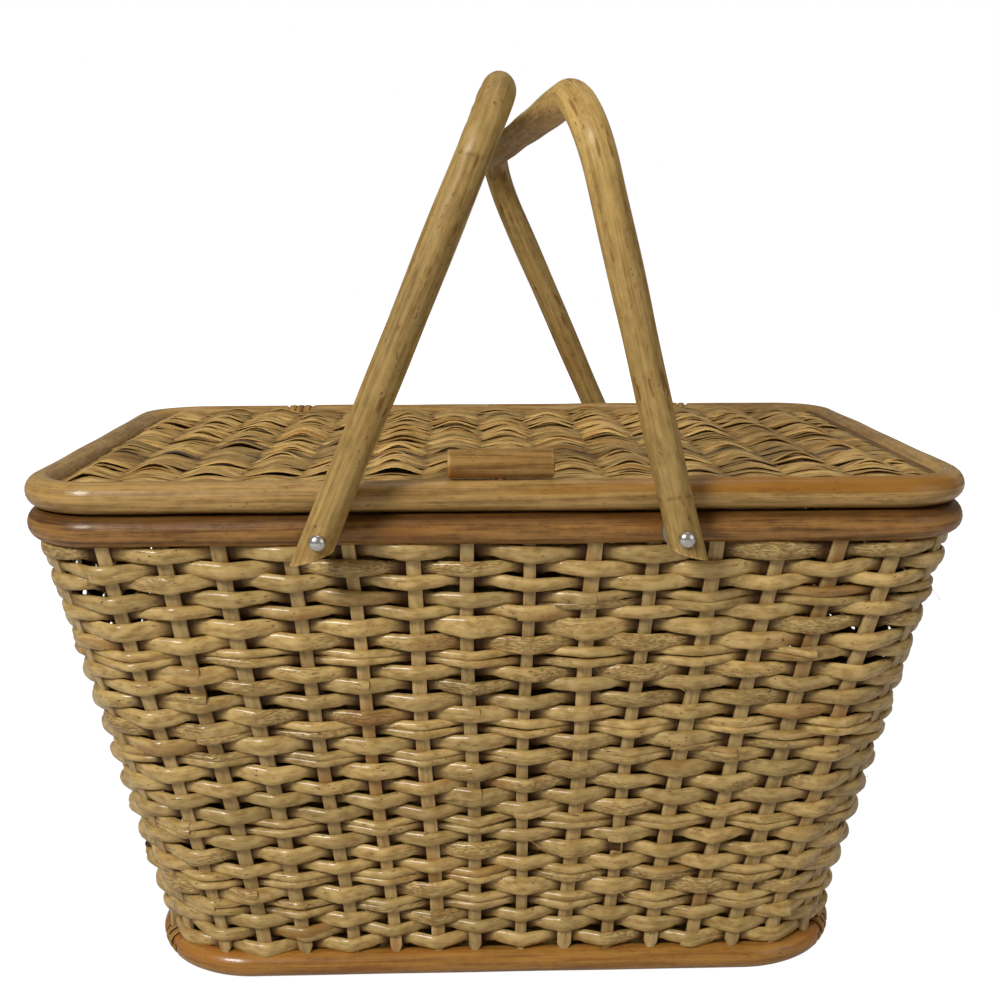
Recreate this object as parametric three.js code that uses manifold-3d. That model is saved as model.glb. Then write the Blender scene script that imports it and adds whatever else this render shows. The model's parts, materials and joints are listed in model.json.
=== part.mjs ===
// Lidded rattan picnic basket: bent-pole frames, woven walls, a hinged lid and two swing handles.
// Millimetres, +Z up, +X along the basket, -Y is the front with the lid's grip.
// The origin lies on the floor under the middle of the base.
import * as THREE from 'three';
import { mergeVertices } from 'three/addons/utils/BufferGeometryUtils.js';
import Module from 'manifold-3d';

const wasm = await Module();
wasm.setup();

// Driving dimensions: rim and lid poles, measured on the pole's centre line
const rimLength = 438;
const rimDepth = 278;
const rimCorner = 33;
const rimHeight = 243;
const rimPole = 15;
const lidPole = 15;
const lidSeatGap = 0.5;

// Driving dimensions: base pole, on its centre line
const baseLength = 354;
const baseDepth = 220;
const baseCorner = 50;
const basePole = 13;

// Driving dimensions: woven walls, floor and lid panel
const wallThickness = 6;
const endInset = 0.5;
const sideInset = 3;
const stakePitch = 29;
const rowPitch = 7.6;
const weaveRelief = 2.2;
const floorThickness = 5;
const floorPitch = 26;
const floorRelief = 1.3;
const lidWeaveThickness = 6;
const lidWeaveRise = 2.5;
const lidRibPitch = 29;
const lidWeaveRelief = 1.8;

// Driving dimensions: swing handles, from the pivot to the centre line of the top bar
const handlePole = 16;
const handleBend = 38;
const leftHandleLength = 213;
const leftFrontAngle = 22.9;
const leftBackAngle = 20.5;
const rightHandleLength = 200.5;
const rightFrontAngle = 13.6;
const rightBackAngle = 23.8;
const pivotSpacing = 164;
const legGap = 3.8;
const tipDrop = 16.5;
const tipBevel = 40;

// Driving dimensions: pivot bolts, spacers and nuts
const boltDiameter = 4.8;
const boltHeadDiameter = 8.6;
const boltHeadHeight = 3;
const boltEnd = 1.5;
const spacerDiameter = 17;
const nutWidth = 8;
const nutThickness = 4;

// Driving dimensions: lid grip and its peg
const gripLength = 49;
const gripDiameter = 13.5;
const gripChamfer = 2;
const gripLift = 1.5;
const pegDiameter = 5;
const pegDepth = 6;

// Driving dimensions: cane bindings, wound in pared necks of the poles
const hingeSpacing = 250;
const lashingShare = 0.28;
const lashingPitch = 5.4;
const caneWidth = 4;
const caneThickness = 1.2;
const canePitch = 4.7;
const caneTurns = 3;
const neckPare = 2.1;
const caneSlack = 0.7;
const neckRamp = 1.2;

// Clearance between pieces that touch
const fitGap = 0.3;

// Facets of round sections and of bends
const poleSides = 12;
const cornerSteps = 6;
const bendSteps = 7;
const boltSides = 12;
const caneSteps = 16;
const wallCornerCount = 3;

// Heights and planes that follow from the sizes above
const lidHeight = rimHeight + rimPole / 2 + lidPole / 2 + lidSeatGap;
const baseHeight = basePole / 2;
const wallBottom = basePole + fitGap;
const wallTop = rimHeight - rimPole / 2 - fitGap;
const pivotHeight = rimHeight;
const rimFace = rimDepth / 2 + rimPole / 2;
const legInnerFace = rimDepth / 2 + Math.max(rimPole, lidPole) / 2 + legGap;
const legPlane = legInnerFace + handlePole / 2;
const neckLength = (pitch) => caneTurns * pitch + caneWidth + 2 * fitGap;
const boltHole = boltDiameter + 2 * fitGap;
const pegHole = pegDiameter + 2 * fitGap;

const rattan = { color: 0xb98d52, roughness: 0.5, metalness: 0 };
const darkRattan = { color: 0x8a5a33, roughness: 0.5, metalness: 0 };
const paleRattan = { color: 0xb7965a, roughness: 0.55, metalness: 0 };
const willow = { color: 0xb49a62, roughness: 0.6, metalness: 0 };
const cane = { color: 0xa07a48, roughness: 0.6, metalness: 0 };
const zinc = { color: 0xb4b8ba, roughness: 0.3, metalness: 1 };

const X = new THREE.Vector3(1, 0, 0);
const Y = new THREE.Vector3(0, 1, 0);
const Z = new THREE.Vector3(0, 0, 1);

// Solids: rings of points joined into one skin, and cuts

function geometryOf(points, triangles) {
  const geometry = new THREE.BufferGeometry();
  geometry.setFromPoints(points);
  geometry.setIndex(triangles);
  return geometry;
}

// Joins rings that hold as many points each.
// A loop joins its last ring to its first, and an open run gets flat ends.
function skin(rings, loop) {
  const sides = rings[0].length;
  const triangles = [];
  const steps = loop ? rings.length : rings.length - 1;
  for (let i = 0; i < steps; i++) {
    const near = i * sides;
    const far = ((i + 1) % rings.length) * sides;
    for (let k = 0; k < sides; k++) {
      const next = (k + 1) % sides;
      triangles.push(near + k, near + next, far + next, near + k, far + next, far + k);
    }
  }
  if (!loop) {
    const last = (rings.length - 1) * sides;
    for (let k = 1; k < sides - 1; k++) {
      triangles.push(0, k + 1, k, last, last + k, last + k + 1);
    }
  }
  return geometryOf(rings.flat(), triangles);
}

// A pole's section: a regular polygon with flats on its main directions, at the pole's radius.
function poleRing(centre, first, second, radius) {
  const reach = radius / Math.cos(Math.PI / poleSides);
  const ring = [];
  for (let k = 0; k < poleSides; k++) {
    const angle = ((k + 0.5) * 2 * Math.PI) / poleSides;
    const point = centre.clone();
    point.addScaledVector(first, reach * Math.cos(angle));
    point.addScaledVector(second, reach * Math.sin(angle));
    ring.push(point);
  }
  return ring;
}

function toSolid(geometry) {
  const bare = geometry.clone();
  bare.deleteAttribute('normal');
  bare.deleteAttribute('uv');
  const merged = mergeVertices(bare, 1e-4);
  const mesh = new wasm.Mesh({
    numProp: 3,
    vertProperties: new Float32Array(merged.attributes.position.array),
    triVerts: new Uint32Array(merged.index.array),
  });
  return new wasm.Manifold(mesh);
}

function toGeometry(solid) {
  const mesh = solid.getMesh();
  const geometry = new THREE.BufferGeometry();
  geometry.setAttribute('position', new THREE.BufferAttribute(mesh.vertProperties, 3));
  geometry.setIndex(new THREE.BufferAttribute(mesh.triVerts, 1));
  return geometry;
}

function drilled(geometry, drills) {
  let solid = toSolid(geometry);
  for (const drill of drills) {
    solid = solid.subtract(toSolid(drill));
  }
  return toGeometry(solid);
}

// A drill along Y, long enough to pass through a pole that runs across it.
function crossDrill(diameter, length, x, y, z) {
  const drill = new THREE.CylinderGeometry(diameter / 2, diameter / 2, length, boltSides);
  drill.translate(x, y, z);
  return drill;
}

function piece(name, geometry, finish) {
  const mesh = new THREE.Mesh(geometry, new THREE.MeshStandardMaterial(finish));
  mesh.name = name;
  return mesh;
}

// Rounded rectangles: quarter 0 is the right end, then back, left end and front.
// Each quarter has a straight side and the corner that follows it, counter-clockwise.

function quarterFrame(outline, quarter) {
  const turn = (quarter * Math.PI) / 2;
  const isEnd = quarter % 2 === 0;
  return {
    turn,
    normal: new THREE.Vector3(Math.cos(turn), Math.sin(turn), 0),
    along: new THREE.Vector3(-Math.sin(turn), Math.cos(turn), 0),
    reach: (isEnd ? outline.length : outline.depth) / 2,
    straight: (isEnd ? outline.depth : outline.length) / 2 - outline.corner,
  };
}

function sidePoint(outline, quarter, distance, height) {
  const { normal, along, reach } = quarterFrame(outline, quarter);
  const point = normal.clone().multiplyScalar(reach).addScaledVector(along, distance);
  point.z = height;
  return { point, normal };
}

function cornerPoint(outline, quarter, share, height) {
  const { turn, normal, along, reach, straight } = quarterFrame(outline, quarter);
  const angle = turn + (share * Math.PI) / 2;
  const outward = new THREE.Vector3(Math.cos(angle), Math.sin(angle), 0);
  const point = normal.clone().multiplyScalar(reach - outline.corner);
  point.addScaledVector(along, straight).addScaledVector(outward, outline.corner);
  point.z = height;
  return { point, normal: outward };
}

function roundedShape(outline) {
  const points = [];
  for (let quarter = 0; quarter < 4; quarter++) {
    for (let step = 0; step <= cornerSteps; step++) {
      const { point } = cornerPoint(outline, quarter, step / cornerSteps, 0);
      points.push(new THREE.Vector2(point.x, point.y));
    }
  }
  return new THREE.Shape(points);
}

// Bent poles: a closed ring of pole round a rounded rectangle, pared to a neck where cane is wound.
// A side neck lies at a distance along a straight side, and a bend neck at a share of a corner.

const bendLength = (outline) => (outline.corner * Math.PI) / 2;

// Where a corner's bend gets a section, and how deep it is pared there.
function bendStops(outline, neckShare) {
  const plain = [];
  for (let step = 0; step <= cornerSteps; step++) {
    plain.push({ share: step / cornerSteps, pare: 0 });
  }
  if (neckShare === undefined) {
    return plain;
  }
  const half = neckLength(lashingPitch) / 2 / bendLength(outline);
  const ramp = neckRamp / bendLength(outline);
  const stops = plain.filter(({ share }) => Math.abs(share - neckShare) > half + 2 * ramp);
  stops.push({ share: neckShare - half - ramp, pare: 0 }, { share: neckShare + half + ramp, pare: 0 });
  for (let step = -2; step <= 2; step++) {
    stops.push({ share: neckShare + (half * step) / 2, pare: neckPare });
  }
  return stops.sort((a, b) => a.share - b.share);
}

function bentPole(outline, height, diameter, sideNecks, bendNecks) {
  const rings = [];
  const down = Z.clone().negate();
  const station = ({ point, normal }, pare) => {
    rings.push(poleRing(point, normal, down, diameter / 2 - pare));
  };
  for (let quarter = 0; quarter < 4; quarter++) {
    for (const { at } of sideNecks.filter((neck) => neck.quarter === quarter)) {
      const half = neckLength(canePitch) / 2;
      station(sidePoint(outline, quarter, at - half - neckRamp, height), 0);
      station(sidePoint(outline, quarter, at - half, height), neckPare);
      station(sidePoint(outline, quarter, at + half, height), neckPare);
      station(sidePoint(outline, quarter, at + half + neckRamp, height), 0);
    }
    for (const { share, pare } of bendStops(outline, bendNecks[quarter])) {
      station(cornerPoint(outline, quarter, share, height), pare);
    }
  }
  return skin(rings, true);
}

const rimOutline = { length: rimLength, depth: rimDepth, corner: rimCorner };
const baseOutline = { length: baseLength, depth: baseDepth, corner: baseCorner };
const BACK = 1;
const hingePlaces = [hingeSpacing / 2, -hingeSpacing / 2];
const hingeNecks = hingePlaces.map((x) => ({ quarter: BACK, at: -x })).sort((a, b) => a.at - b.at);
const lashingShares = [lashingShare, 1 - lashingShare, lashingShare, 1 - lashingShare];

// Woven walls: each weaver's row crests over one stake and dips behind the next, plain inside.
// Stakes stand at even shares of the way round, counted from the front's middle, counter-clockwise.

function outlinePoint(outline, turn, nudge, height) {
  const bend = bendLength(outline);
  const sides = [0, 1, 2, 3].map((quarter) => 2 * quarterFrame(outline, quarter).straight);
  const around = sides.reduce((sum, side) => sum + side, 4 * bend);
  let way = (turn - Math.floor(turn)) * around + nudge + sides[3] / 2;
  for (const quarter of [3, 0, 1, 2]) {
    if (way <= sides[quarter]) {
      return sidePoint(outline, quarter, way - sides[quarter] / 2, height);
    }
    way -= sides[quarter];
    if (way <= bend) {
      return cornerPoint(outline, quarter, way / bend, height);
    }
    way -= bend;
  }
  return sidePoint(outline, 3, way - sides[3] / 2, height);
}

// The walls' middle surface leans out from the base pole to the rim pole.
function wallOutline(share) {
  const between = (low, high) => low + (high - low) * share;
  return {
    length: between(baseLength - 2 * endInset, rimLength),
    depth: between(baseDepth - 2 * sideInset, rimDepth),
    corner: between(baseCorner, rimCorner),
  };
}

const wallHeight = (share) => wallBottom + (wallTop - wallBottom) * share;
const wallRows = Math.round((wallTop - wallBottom) / rowPitch);
const rimStraights = [0, 1].map((quarter) => quarterFrame(rimOutline, quarter).straight);
const rimQuarter = rimStraights[0] + rimStraights[1] + bendLength(rimOutline);
const quarterStakes = Math.round(rimQuarter / stakePitch);
const stakeCount = 4 * quarterStakes;
const endHalf = Math.round(rimStraights[0] / stakePitch - 0.5);
const sideHalf = quarterStakes - wallCornerCount - endHalf;

// A piece of wall holds a run of stakes. Relief points lie where stakes cross the rows' middles.
function wovenWall(firstStake, stakes) {
  const lines = [{ turn: firstStake / stakeCount, nudge: fitGap / 2 }];
  for (let stake = firstStake; stake < firstStake + stakes; stake++) {
    lines.push({ turn: (stake + 0.5) / stakeCount, nudge: 0, stake });
  }
  lines.push({ turn: (firstStake + stakes) / stakeCount, nudge: -fitGap / 2 });
  const columns = lines.length - 1;
  const rows = wallRows + 1;
  const rowShare = (j) => Math.min(Math.max((j - 0.5) / wallRows, 0), 1);
  const pointAt = (i, share) => {
    const { turn, nudge } = lines[i];
    return outlinePoint(wallOutline(share), turn, nudge, wallHeight(share));
  };
  const points = [];
  const outer = (i, j) => j * (columns + 1) + i;
  for (let j = 0; j <= rows; j++) {
    for (let i = 0; i <= columns; i++) {
      const { point, normal } = pointAt(i, rowShare(j));
      const onEdge = i === 0 || i === columns || j === 0 || j === rows;
      const crests = (lines[i].stake + j - 1) % 2 === 0;
      const relief = onEdge ? 0 : weaveRelief * (crests ? 1 : -1);
      points.push(point.clone().addScaledVector(normal, wallThickness / 2 + relief));
    }
  }
  const innerStart = points.length;
  const inner = (i, level) => innerStart + level * (columns + 1) + i;
  for (const level of [0, 1]) {
    for (let i = 0; i <= columns; i++) {
      const { point, normal } = pointAt(i, level);
      points.push(point.clone().addScaledVector(normal, -wallThickness / 2));
    }
  }
  const triangles = [];
  const quad = (a, b, c, d) => triangles.push(a, b, c, a, c, d);
  for (let i = 0; i < columns; i++) {
    for (let j = 0; j < rows; j++) {
      quad(outer(i, j), outer(i + 1, j), outer(i + 1, j + 1), outer(i, j + 1));
    }
    quad(inner(i + 1, 0), inner(i, 0), inner(i, 1), inner(i + 1, 1));
    quad(inner(i, 0), inner(i + 1, 0), outer(i + 1, 0), outer(i, 0));
    quad(outer(i, rows), outer(i + 1, rows), inner(i + 1, 1), inner(i, 1));
  }
  for (let j = 0; j < rows; j++) {
    triangles.push(inner(0, 0), outer(0, j), outer(0, j + 1));
    triangles.push(inner(columns, 0), outer(columns, j + 1), outer(columns, j));
  }
  triangles.push(inner(0, 0), outer(0, rows), inner(0, 1));
  triangles.push(inner(columns, 0), inner(columns, 1), outer(columns, rows));
  return geometryOf(points, triangles);
}

// A flat woven panel: a slab with relief on top, a little larger all round, trimmed to a rounded rectangle.
function wovenPanel(outline, middle, thickness, columns, rows, liftAt) {
  const points = [];
  const place = (k, count, size) => {
    const excess = k === 0 ? -thickness : k === count ? thickness : 0;
    return (k / count - 0.5) * size + excess;
  };
  const at = (i, j) => j * (columns + 1) + i;
  for (let j = 0; j <= rows; j++) {
    for (let i = 0; i <= columns; i++) {
      const x = place(i, columns, outline.length);
      const y = place(j, rows, outline.depth);
      points.push(new THREE.Vector3(x, y, middle + thickness / 2 + liftAt(i, j)));
    }
  }
  const under = points.length;
  for (const [sx, sy] of [[-1, -1], [1, -1], [1, 1], [-1, 1]]) {
    const x = sx * (outline.length / 2 + thickness);
    const y = sy * (outline.depth / 2 + thickness);
    points.push(new THREE.Vector3(x, y, middle - thickness / 2));
  }
  const triangles = [];
  for (let i = 0; i < columns; i++) {
    for (let j = 0; j < rows; j++) {
      triangles.push(at(i, j), at(i + 1, j), at(i + 1, j + 1), at(i, j), at(i + 1, j + 1), at(i, j + 1));
    }
  }
  triangles.push(under, under + 2, under + 1, under, under + 3, under + 2);
  const rim = [
    Array.from({ length: columns + 1 }, (_, i) => at(i, 0)),
    Array.from({ length: rows + 1 }, (_, j) => at(columns, j)),
    Array.from({ length: columns + 1 }, (_, i) => at(columns - i, rows)),
    Array.from({ length: rows + 1 }, (_, j) => at(0, rows - j)),
  ];
  rim.forEach((edge, side) => {
    const near = under + side;
    const far = under + ((side + 1) % 4);
    const half = Math.floor(edge.length / 2);
    for (let k = 0; k < edge.length - 1; k++) {
      triangles.push(k < half ? near : far, edge[k + 1], edge[k]);
    }
    triangles.push(near, far, edge[half]);
  });
  const slab = geometryOf(points, triangles);
  const tall = 3 * thickness;
  const trim = new THREE.ExtrudeGeometry(roundedShape(outline), { depth: tall, bevelEnabled: false });
  trim.translate(0, 0, middle - tall / 2);
  return toGeometry(toSolid(slab).intersect(toSolid(trim)));
}

// Cane bindings: flat cane wound round a pole in an open helix

function woundCane(name, stations) {
  const rings = stations.map(({ centre, outward }, i) => {
    const before = stations[Math.max(i - 1, 0)].centre;
    const after = stations[Math.min(i + 1, stations.length - 1)].centre;
    const forward = after.clone().sub(before).normalize();
    const across = forward.clone().cross(outward).normalize();
    const section = [[1, -0.5], [1, 0.5], [0, 1], [-1, 0.5], [-1, -0.5], [0, -1]];
    return section.map(([thick, wide]) =>
      centre
        .clone()
        .addScaledVector(outward, (thick * caneThickness) / 2)
        .addScaledVector(across, (wide * caneWidth) / 2),
    );
  });
  let least = Infinity;
  for (let i = 0; i < rings.length; i++) {
    for (let j = i + caneSteps / 2; j < rings.length; j++) {
      for (const here of rings[i]) {
        for (const there of rings[j]) {
          least = Math.min(least, here.distanceTo(there));
        }
      }
    }
  }
  console.log(`${name}: least gap between turns ${least.toFixed(2)} mm`);
  return skin(rings, false);
}

// A lashing is wound round the base pole on the bend of a corner, near the end wall.
function baseLashing(name, quarter) {
  const radius = basePole / 2 - neckPare + caneSlack + caneThickness / 2;
  const stations = [];
  for (let step = 0; step <= caneTurns * caneSteps; step++) {
    const turns = step / caneSteps;
    const along = ((turns - caneTurns / 2) * lashingPitch) / bendLength(baseOutline);
    const { point, normal } = cornerPoint(baseOutline, quarter, lashingShares[quarter] + along, baseHeight);
    const angle = turns * 2 * Math.PI;
    const outward = normal.clone().multiplyScalar(Math.cos(angle)).addScaledVector(Z, Math.sin(angle));
    stations.push({ centre: point.addScaledVector(outward, radius), outward });
  }
  return piece(name, woundCane(name, stations), cane);
}

// A hinge binding runs round the back poles of lid and rim together, and the lid's pole turns in it.
function hingeBinding(name, x) {
  const stations = [];
  const woundStart = -(caneTurns * canePitch) / 2;
  const half = caneSteps / 2;
  for (let step = 0; step <= caneTurns * caneSteps; step++) {
    const turn = step % caneSteps;
    const onLid = turn < half;
    const share = (onLid ? turn : turn - half) / (half - 1);
    const angle = share * Math.PI + (onLid ? 0 : Math.PI);
    const poleRadius = (onLid ? lidPole : rimPole) / 2 - neckPare;
    const radius = poleRadius + caneSlack + caneThickness / 2;
    const outward = Y.clone().multiplyScalar(Math.cos(angle)).addScaledVector(Z, Math.sin(angle));
    const along = x + woundStart + (step / caneSteps) * canePitch;
    const centre = new THREE.Vector3(along, rimDepth / 2, onLid ? lidHeight : rimHeight);
    stations.push({ centre: centre.addScaledVector(outward, radius), outward });
  }
  return piece(name, woundCane(name, stations), cane);
}

// Swing handles: one pole bent twice, its two legs pivoting outside the rim at front and back

function bendBetween(corner, before, after) {
  const into = corner.clone().sub(before).normalize();
  const out = after.clone().sub(corner).normalize();
  const angle = into.angleTo(out);
  const toCentre = out.clone().addScaledVector(into, -out.dot(into)).normalize();
  const start = corner.clone().addScaledVector(into, -handleBend * Math.tan(angle / 2));
  const centre = start.clone().addScaledVector(toCentre, handleBend);
  const stations = [];
  for (let step = 0; step <= bendSteps; step++) {
    const a = (angle * step) / bendSteps;
    const point = centre.clone();
    point.addScaledVector(toCentre, -handleBend * Math.cos(a));
    point.addScaledVector(into, handleBend * Math.sin(a));
    const forward = into.clone().multiplyScalar(Math.cos(a)).addScaledVector(toCentre, Math.sin(a));
    stations.push({ point, forward });
  }
  return stations;
}

// A leg's end is cut slantwise: longest on the outer side, rising inward.
function slantEnd(ring, pivot, up, outer) {
  const slope = Math.tan(THREE.MathUtils.degToRad(tipBevel));
  for (const point of ring) {
    const arm = point.clone().sub(pivot);
    const below = tipDrop - (handlePole / 2 - arm.dot(outer)) * slope;
    point.addScaledVector(up, -below - arm.dot(up));
  }
}

function swingHandle(name, side, length, leanFront, leanBack) {
  const leg = (front, lean) => {
    const angle = THREE.MathUtils.degToRad(lean);
    const pivot = new THREE.Vector3((side * pivotSpacing) / 2, front * legPlane, pivotHeight);
    const up = new THREE.Vector3(-side * Math.sin(angle), 0, Math.cos(angle));
    const outer = new THREE.Vector3(side * Math.cos(angle), 0, Math.sin(angle));
    return { pivot, up, outer, corner: pivot.clone().addScaledVector(up, length) };
  };
  const near = leg(-1, leanFront);
  const far = leg(1, leanBack);
  const stations = [
    { point: near.pivot, forward: near.up },
    ...bendBetween(near.corner, near.pivot, far.corner),
    ...bendBetween(far.corner, near.corner, far.pivot),
    { point: far.pivot, forward: far.up.clone().negate() },
  ];
  const facing = Y.clone().negate();
  const turn = new THREE.Quaternion();
  const rings = stations.map(({ point, forward }, i) => {
    if (i > 0) {
      facing.applyQuaternion(turn.setFromUnitVectors(stations[i - 1].forward, forward));
    }
    return poleRing(point, facing, forward.clone().cross(facing), handlePole / 2);
  });
  slantEnd(rings[0], near.pivot, near.up, near.outer);
  slantEnd(rings[rings.length - 1], far.pivot, far.up, far.outer);
  const drills = [near, far].map(({ pivot }) => crossDrill(boltHole, 2 * handlePole, ...pivot.toArray()));
  return piece(name, drilled(skin(rings, false), drills), paleRattan);
}

// Pivot hardware: a domed bolt through leg, spacer and rim, with a nut inside the basket

function lathe(profile) {
  const points = profile.map(([radius, along]) => new THREE.Vector2(radius, along));
  return new THREE.LatheGeometry(points, boltSides);
}

// Turned pieces are made for the back, pointing along +Y, and half a turn about Z brings them to the front.
function placedAt(geometry, x, front) {
  if (front < 0) {
    geometry.rotateZ(Math.PI);
  }
  geometry.translate(x, 0, pivotHeight);
  return geometry;
}

const nutFace = rimDepth / 2 - rimPole / 2 - fitGap;
const headFace = legInnerFace + handlePole + fitGap;

function pivotBolt(name, x, front) {
  const shank = boltDiameter / 2;
  const head = boltHeadDiameter / 2;
  const profile = [[0, nutFace - nutThickness - boltEnd], [shank, nutFace - nutThickness - boltEnd]];
  profile.push([shank, headFace]);
  const domeSteps = 3;
  for (let step = 0; step <= domeSteps; step++) {
    const angle = (step / domeSteps) * (Math.PI / 2);
    const radius = step === domeSteps ? 0 : head * Math.cos(angle);
    profile.push([radius, headFace + boltHeadHeight * Math.sin(angle)]);
  }
  return piece(name, placedAt(lathe(profile), x, front), zinc);
}

function pivotSpacer(name, x, front) {
  const inner = boltHole / 2;
  const outer = spacerDiameter / 2;
  const low = rimFace + fitGap;
  const high = legInnerFace - fitGap;
  const profile = [[inner, low], [outer, low], [outer, high], [inner, high], [inner, low]];
  return piece(name, placedAt(lathe(profile), x, front), zinc);
}

function pivotNut(name, x, front) {
  const corners = 6;
  const reach = nutWidth / 2 / Math.cos(Math.PI / corners);
  const points = [];
  for (let k = 0; k < corners; k++) {
    const angle = (k / corners) * 2 * Math.PI;
    points.push(new THREE.Vector2(reach * Math.cos(angle), reach * Math.sin(angle)));
  }
  const hexagon = new THREE.Shape(points);
  const bore = new THREE.Path();
  bore.absarc(0, 0, boltHole / 2, 0, 2 * Math.PI, true);
  hexagon.holes.push(bore);
  const settings = { depth: nutThickness, bevelEnabled: false, curveSegments: boltSides };
  const geometry = new THREE.ExtrudeGeometry(hexagon, settings);
  geometry.rotateX(Math.PI / 2);
  geometry.translate(0, nutFace, 0);
  return piece(name, placedAt(geometry, x, front), zinc);
}

// Basket: base pole with floor and lashings, woven walls, rim pole with its hinge bindings and pivots

const CORNER_NAMES = ['back_right', 'back_left', 'front_left', 'front_right'];

const basket = new THREE.Group();
const baseRing = bentPole(baseOutline, baseHeight, basePole, [], lashingShares);
basket.add(piece('base_pole', baseRing, rattan));

const floorInset = basePole + 2 * fitGap;
const floorOutline = {
  length: baseLength - floorInset,
  depth: baseDepth - floorInset,
  corner: baseCorner - floorInset / 2,
};
const floorPanel = wovenPanel(
  floorOutline,
  baseHeight,
  floorThickness,
  Math.round(floorOutline.length / floorPitch),
  Math.round(floorOutline.depth / floorPitch),
  (i, j) => floorRelief * ((i + j) % 2 === 0 ? 1 : -1),
);
basket.add(piece('floor_weave', floorPanel, willow));

const wallRuns = [
  ['corner_weave_front_right', wallCornerCount],
  ['wall_weave_right', 2 * endHalf],
  ['corner_weave_back_right', wallCornerCount],
  ['wall_weave_back', 2 * sideHalf],
  ['corner_weave_back_left', wallCornerCount],
  ['wall_weave_left', 2 * endHalf],
  ['corner_weave_front_left', wallCornerCount],
  ['wall_weave_front', 2 * sideHalf],
];
let nextStake = sideHalf;
for (const [name, stakes] of wallRuns) {
  basket.add(piece(name, wovenWall(nextStake, stakes), willow));
  nextStake += stakes;
}

const pivotPlaces = [-1, 1].flatMap((front) =>
  [-1, 1].map((side) => ({
    x: (side * pivotSpacing) / 2,
    front,
    label: `${front < 0 ? 'front' : 'back'}_${side < 0 ? 'left' : 'right'}`,
  })),
);
const rimDrills = pivotPlaces.map(({ x, front }) =>
  crossDrill(boltHole, 2 * rimPole, x, (front * rimDepth) / 2, pivotHeight),
);
const rimRing = bentPole(rimOutline, rimHeight, rimPole, hingeNecks, []);
basket.add(piece('rim_pole', drilled(rimRing, rimDrills), darkRattan));

for (const [quarter, corner] of CORNER_NAMES.entries()) {
  basket.add(baseLashing(`base_lashing_${corner}`, quarter));
}
for (const [end, endName] of [[-1, 'left'], [1, 'right']]) {
  basket.add(hingeBinding(`hinge_binding_${endName}`, (end * hingeSpacing) / 2));
}
for (const { x, front, label } of pivotPlaces) {
  basket.add(pivotBolt(`pivot_bolt_${label}`, x, front));
  basket.add(pivotSpacer(`pivot_spacer_${label}`, x, front));
  basket.add(pivotNut(`pivot_nut_${label}`, x, front));
}

// Lid: a pole like the rim's, its woven panel, and a short grip pegged on the front pole

const lid = new THREE.Group();
const lidTop = lidHeight + lidPole / 2;
const gripHeight = lidTop + gripLift + gripDiameter / 2;
const pegLow = lidTop - pegDepth;
const pegHigh = lidTop + gripLift + pegDepth;

function upright(diameter, low, high) {
  const peg = new THREE.CylinderGeometry(diameter / 2, diameter / 2, high - low, boltSides);
  peg.rotateX(Math.PI / 2);
  peg.translate(0, -rimDepth / 2, (low + high) / 2);
  return peg;
}

const pegDrill = upright(pegHole, pegLow - fitGap, pegHigh + fitGap);
const lidRing = bentPole(rimOutline, lidHeight, lidPole, hingeNecks, []);
lid.add(piece('lid_pole', drilled(lidRing, [pegDrill]), rattan));

const lidInset = lidPole + 2 * fitGap;
const lidPanelOutline = {
  length: rimLength - lidInset,
  depth: rimDepth - lidInset,
  corner: rimCorner - lidInset / 2,
};
const lidPanelHeight = lidHeight + lidWeaveRise;
// The strands crest over each rib of the lid, stay high beside it and dip midway between two ribs.
const ribProfile = [-1, 0, 0.75, 1, 0.75, 0];
const ribHalves = Math.round((2 * lidPanelOutline.length) / lidRibPitch);
const lidPanel = wovenPanel(
  lidPanelOutline,
  lidPanelHeight,
  lidWeaveThickness,
  (ribHalves * ribProfile.length) / 2,
  1,
  (i) => lidWeaveRelief * ribProfile[i % ribProfile.length],
);
lid.add(piece('lid_weave', lidPanel, willow));

const gripRadius = gripDiameter / 2;
const gripEnd = gripLength / 2;
const gripBody = lathe([
  [0, -gripEnd],
  [gripRadius - gripChamfer, -gripEnd],
  [gripRadius, gripChamfer - gripEnd],
  [gripRadius, gripEnd - gripChamfer],
  [gripRadius - gripChamfer, gripEnd],
  [0, gripEnd],
]);
gripBody.rotateZ(-Math.PI / 2);
gripBody.translate(0, -rimDepth / 2, gripHeight);
lid.add(piece('lid_grip', drilled(gripBody, [pegDrill]), rattan));
lid.add(piece('grip_peg', upright(pegDiameter, pegLow, pegHigh), darkRattan));

const picnicBasket = new THREE.Group();
picnicBasket.add(basket, lid);
picnicBasket.add(swingHandle('handle_left', -1, leftHandleLength, leftFrontAngle, leftBackAngle));
picnicBasket.add(swingHandle('handle_right', 1, rightHandleLength, rightFrontAngle, rightBackAngle));

export default picnicBasket;
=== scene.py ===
import json
import math

import bmesh
import bpy
import numpy as np
from mathutils import Matrix, Vector


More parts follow.
